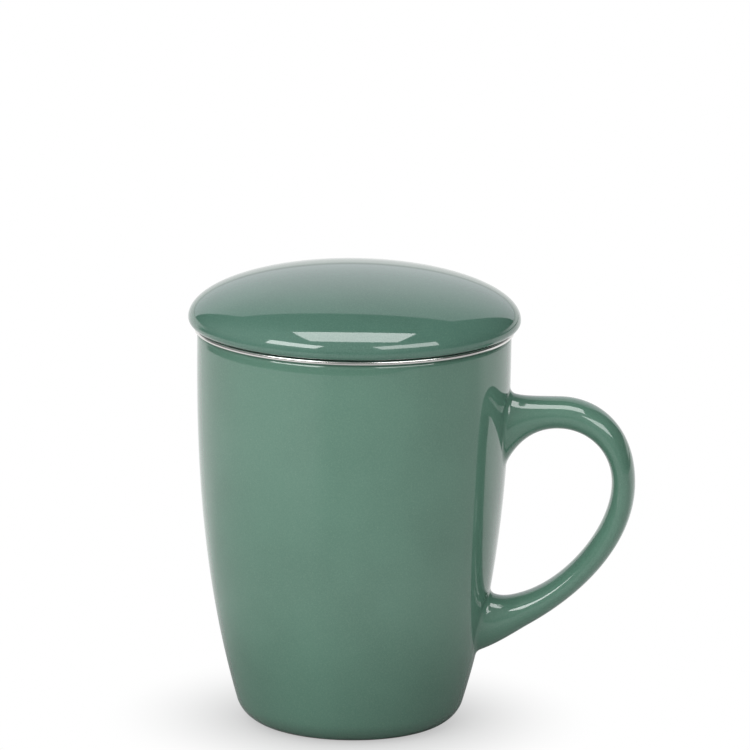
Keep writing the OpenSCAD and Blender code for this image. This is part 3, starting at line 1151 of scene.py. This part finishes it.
class MUG_OT_lid(bpy.types.Operator):
    """Turn the domed lid with its locating ring"""

    bl_idname = "mug.lid"
    bl_label = "Domed lid"

    def execute(self, context):
        s = in_mm(context.scene.lid_sizes)
        looks = context.scene.mug_looks
        bare = (s.crown - s.dome - s.edge - s.ring_depth + LID_BARE) * MM
        material = glaze_material("Glaze on the lid", looks, looks.lid_glaze, bare)
        piece = turned("lid_glazed", lid_profile(s), LID_SIDES, material)
        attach(piece, "lid")
        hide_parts("lid")
        return {"FINISHED"}


# ---- stage ----


SENSOR = 36.0
LAMP_AIM = (0, 0, 0.07)
# name, place, width and height, radiance, and whether shiny faces or matt ones see it
LAMPS = (
    ("Overhead, seen", (0.018, -0.18, 1.2), (0.93, 0.62), 5.9, True),
    ("Left front, seen", (-0.82, -0.98, 0.87), (0.95, 0.52), 7.8, True),
    ("Right front, seen", (0.845, -0.79, 0.90), (1.03, 0.48), 5.0, True),
    ("Overhead", (0.0, -0.1, 1.2), (1.3, 1.2), 0.9, False),
    ("Left front", (-0.55, -1.24, 0.70), (1.2, 1.2), 2.75, False),
)
# The room as shiny faces see it, by direction: rise is up, away is past the mug, aside is
# right. The backdrop's top edge is at TOP_AWAY * away + TOP_ASIDE * aside, its side edges at
# HALF_WIDTH * away either way.
TOP_AWAY, TOP_ASIDE, HALF_WIDTH = 1.21, 0.2, 0.66
SCREEN_EDGE, SCREEN_START = (-0.012, 0.012, 1.0, 0.0), (0.07, 0.13)
PAPER_RANGE, PAPER_TOP = (0.40, 0.74), 0.78
FRONT_AWAY, FRONT_ASIDE = -0.8, -0.6
ROOM_FRONT, ROOM_RISE = (-0.3, 0.5, 0.05, 0.42), (-0.1, 0.3, 0.35, 1.0)
FAR_TABLE_RISE, FAR_TABLE_AWAY = (0.06, 0.13, 1.0, 0.0), (0.4, 0.75)
SOFT_BELOW, SOFT_ABOVE = 0.85, 1.1  # shares of the room's light from right below and above
# The table, by distance in metres or by turn in radians, towards the right from the front.
TABLE_RADIUS, TABLE_SIDES, TABLE_DOWN = 3, 96, 0.02 * MM
# The table's colour goes from 0.4 near the mug to 0.82 further out: painted shade round the mug's
# foot, on top of its real shadow.
TABLE_ROUGH, TABLE_SHINE, TABLE_NEAR_SHADE = 0.9, 0.1, (0.04, 0.13, 0.4, 0.82)
# What shiny faces see of the table is painted light: brightest on its left and behind the mug, dimmer
# elsewhere, and nearly dark past its ends.
LEFT_TURN, LEFT_REACH, BEHIND = (-0.56, -0.24, 1.0, 0.0), (0.12, 0.34, 0.3, 1.0), (-0.04, -0.16)
TABLE_PAINTED_DIM, TABLE_PAINTED_LIGHT, PAST_END = 0.62, 1.0, 0.14
FRONT_END, RIGHT_END, LEFT_END = (0.495, 0.515), (0.85, 0.95), (0.50, 0.515)
LONG_BEHIND, LONG_FRONT = (-2.4, -2.2), (-0.1, 0.0)  # turns past which it has no left end
WHITE_FROM, WHITE_SHINY_FROM = (-0.02, 0.07), (0.06, 0.2)


def lamp(name, place, size, radiance, glossy):
    """A soft rectangular lamp that either lights matt faces or shows in shiny ones."""
    data = bpy.data.lights.new(name, "AREA")
    data.shape = "RECTANGLE"
    data.size, data.size_y = size
    data.energy = radiance * math.pi * size[0] * size[1]
    made = bpy.data.objects.new(name, data)
    made.location = place
    made.rotation_euler = (Vector(LAMP_AIM) - Vector(place)).to_track_quat("-Z", "Y").to_euler()
    made.visible_camera = False
    made.visible_glossy = made.visible_transmission = glossy
    made.visible_diffuse = not glossy
    bpy.context.scene.collection.objects.link(made)


def rays(t):
    """Whether a ray comes from the camera, and whether it comes from a shiny face."""
    path = t.add("ShaderNodeLightPath").outputs
    shiny = t.maths("MAXIMUM", path["Is Glossy Ray"], path["Is Transmission Ray"])
    return path["Is Camera Ray"], shiny


def studio_world(stage):
    """White to the camera, backdrop and far table to shiny faces, and even light to the rest."""
    world = bpy.data.worlds.new("Studio")
    bpy.context.scene.world = world
    world.use_nodes = True
    t = Wiring(world.node_tree)
    t.tree.nodes.clear()
    way = t.add("ShaderNodeTexCoord").outputs["Generated"]
    rise = t.add("ShaderNodeSeparateXYZ", {0: way}).outputs[2]
    side = polar(1.0, stage.studio)
    away = t.vector("DOT_PRODUCT", way, (-side[1], side[0], 0.0))
    aside = t.vector("DOT_PRODUCT", way, side)
    over = t.maths("SUBTRACT", rise, t.plus(t.times(away, TOP_AWAY), t.times(aside, TOP_ASIDE)))
    past = t.maths("SUBTRACT", t.maths("ABSOLUTE", aside), t.times(away, HALF_WIDTH))
    screen = t.times(t.ramp(over, *SCREEN_EDGE), t.ramp(past, *SCREEN_EDGE))
    screen = t.times(screen, t.ramp(rise, *SCREEN_START))
    paper = t.ramp(rise, *PAPER_RANGE, stage.screen, stage.screen * PAPER_TOP)
    front = t.plus(t.times(away, FRONT_AWAY), t.times(aside, FRONT_ASIDE))
    room = t.times(t.ramp(front, *ROOM_FRONT), t.ramp(rise, *ROOM_RISE))
    table = t.times(t.ramp(rise, *FAR_TABLE_RISE), t.ramp(away, *FAR_TABLE_AWAY))
    seen = t.mix(table, t.mix(screen, room, paper), stage.horizon)
    camera, shiny = rays(t)
    soft = t.add(
        "ShaderNodeMapRange",
        {0: rise, 1: -1.0, 2: 1.0, 3: stage.sky * SOFT_BELOW, 4: stage.sky * SOFT_ABOVE},
    ).outputs[0]
    level = t.mix(camera, t.mix(shiny, soft, seen), 1.0)
    tint = t.blend(t.times(screen, shiny), (1.0, 1.0, 1.0, 1.0), opaque(stage.paper))
    back = t.add("ShaderNodeBackground", {"Color": tint, "Strength": level})
    t.join(back.outputs[0], t.add("ShaderNodeOutputWorld").inputs[0])


def table_material(stage):
    """Pale table that keeps the shadow near the mug, darkened there with painted shade, and is plain
    white further out; shiny faces see painted light on it.
    """
    material, t, shader = new_material("Pale table")
    shader.inputs["Roughness"].default_value = TABLE_ROUGH
    shader.inputs["Specular IOR Level"].default_value = TABLE_SHINE
    place = t.add("ShaderNodeTexCoord").outputs["Object"]
    reach = t.vector("LENGTH", place)
    # painted shade: the table's colour is darker near the mug
    t.join(t.ramp(reach, *TABLE_NEAR_SHADE), shader.inputs["Base Color"])
    side = polar(1.0, stage.studio)
    right = t.vector("DOT_PRODUCT", place, side)
    front = t.vector("DOT_PRODUCT", place, (side[1], -side[0], 0.0))
    turn = t.maths("ARCTAN2", right, front)
    left_side = t.times(t.ramp(turn, *LEFT_TURN), t.ramp(reach, *LEFT_REACH))
    # painted light for shiny faces: a brighter pool on the left of the table and behind the mug
    painted_light = t.add(
        "ShaderNodeMapRange",
        {0: t.maths("MAXIMUM", left_side, t.ramp(front, *BEHIND)), 3: TABLE_PAINTED_DIM, 4: TABLE_PAINTED_LIGHT},
    ).outputs[0]
    front_end = t.ramp(front, *FRONT_END, 1.0, 0.0)
    right_end = t.ramp(right, *RIGHT_END, 1.0, 0.0)
    long = t.maths("MAXIMUM", t.ramp(turn, *LONG_BEHIND, 1.0, 0.0), t.ramp(turn, *LONG_FRONT))
    left_end = t.maths("MAXIMUM", t.ramp(reach, *LEFT_END, 1.0, 0.0), long)
    ends = t.times(t.times(front_end, right_end), left_end)
    camera, shiny = rays(t)
    level = t.mix(camera, t.mix(ends, PAST_END, painted_light), 1.0)
    white = t.add("ShaderNodeEmission", {0: (1, 1, 1, 1), 1: level})
    plain = t.times(t.ramp(reach, *WHITE_FROM), camera)
    far = t.plus(plain, t.times(t.ramp(reach, *WHITE_SHINY_FROM), shiny))
    mixed = t.add("ShaderNodeMixShader", {0: far, 1: shader.outputs[0], 2: white.outputs[0]})
    out = next(n for n in t.tree.nodes if n.type == "OUTPUT_MATERIAL")
    t.join(mixed.outputs[0], out.inputs[0])
    return material


class MUG_OT_stage(bpy.types.Operator):
    """Set the pale table, the soft lamps and the camera"""

    bl_idname = "mug.stage"
    bl_label = "Studio"

    def execute(self, context):
        scene, stage = context.scene, context.scene.mug_stage
        table = bpy.data.meshes.new("table")
        ring = [polar(TABLE_RADIUS, TAU * k / TABLE_SIDES) for k in range(TABLE_SIDES)]
        table.from_pydata(ring, [], [tuple(range(TABLE_SIDES))])
        floor = bpy.data.objects.new("table", table)
        floor.location.z = -TABLE_DOWN
        scene.collection.objects.link(floor)
        table.materials.append(table_material(stage))

        studio_world(stage)
        for given in LAMPS:
            lamp(*given)

        scene.view_settings.view_transform = "Standard"
        data = bpy.data.cameras.new("camera")
        data.lens, data.sensor_width = stage.lens, SENSOR
        camera = bpy.data.objects.new("camera", data)
        scene.collection.objects.link(camera)
        scene.camera = camera
        x, y, flat = math.sin(stage.turn), -math.cos(stage.turn), math.cos(stage.rise)
        back = Vector((x * flat, y * flat, math.sin(stage.rise)))
        centre = Vector((0, 0, stage.middle))
        place = centre + back * stage.distance
        right = Vector(polar(1.0, stage.turn))
        up = back.cross(right)
        leaned = Matrix.Rotation(stage.lean, 3, back)
        right, up = leaned @ right, leaned @ up
        aim = centre + right * stage.aim_right + up * stage.aim_up
        back = (place - aim).normalized()
        up = (up - back * up.dot(back)).normalized()
        turn = Matrix((up.cross(back), up, back)).transposed()
        camera.matrix_world = Matrix.Translation(place) @ turn.to_4x4()
        return {"FINISHED"}


class MUG_PT_panel(bpy.types.Panel):
    """Lists the sizes and the steps"""

    bl_label = "Infuser Mug"
    bl_idname = "MUG_PT_panel"
    bl_space_type = "VIEW_3D"
    bl_region_type = "UI"
    bl_category = "Mug"

    def draw(self, context):
        for title, name in GROUPS:
            box = self.layout.box()
            box.label(text=title)
            group = getattr(context.scene, name)
            for key in type(group).__annotations__:
                box.prop(group, key)
        for operator in OPERATORS:
            self.layout.operator(operator.bl_idname)


GROUPS = (
    ("Mug", "mug_sizes"),
    ("Strainer", "strainer_sizes"),
    ("Lid", "lid_sizes"),
    ("Looks", "mug_looks"),
    ("Studio", "mug_stage"),
)
PROPERTIES = (MugSizes, StrainerSizes, LidSizes, Looks, StageSizes)
OPERATORS = (MUG_OT_body, MUG_OT_handle, MUG_OT_flange, MUG_OT_cloth, MUG_OT_lid, MUG_OT_stage)
CLASSES = (*PROPERTIES, *OPERATORS, MUG_PT_panel)


def register():
    for cls in CLASSES:
        bpy.utils.register_class(cls)
    for (_, name), group in zip(GROUPS, PROPERTIES):
        setattr(bpy.types.Scene, name, PointerProperty(type=group))


def unregister():
    for _, name in GROUPS:
        delattr(bpy.types.Scene, name)
    for cls in reversed(CLASSES):
        bpy.utils.unregister_class(cls)


def main():
    """Builds every piece and the studio."""
    register()
    bpy.ops.mug.body()
    bpy.ops.mug.handle()
    bpy.ops.mug.flange()
    bpy.ops.mug.cloth()
    bpy.ops.mug.lid()
    bpy.ops.mug.stage()
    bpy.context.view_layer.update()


if __name__ == "__main__":
    main()
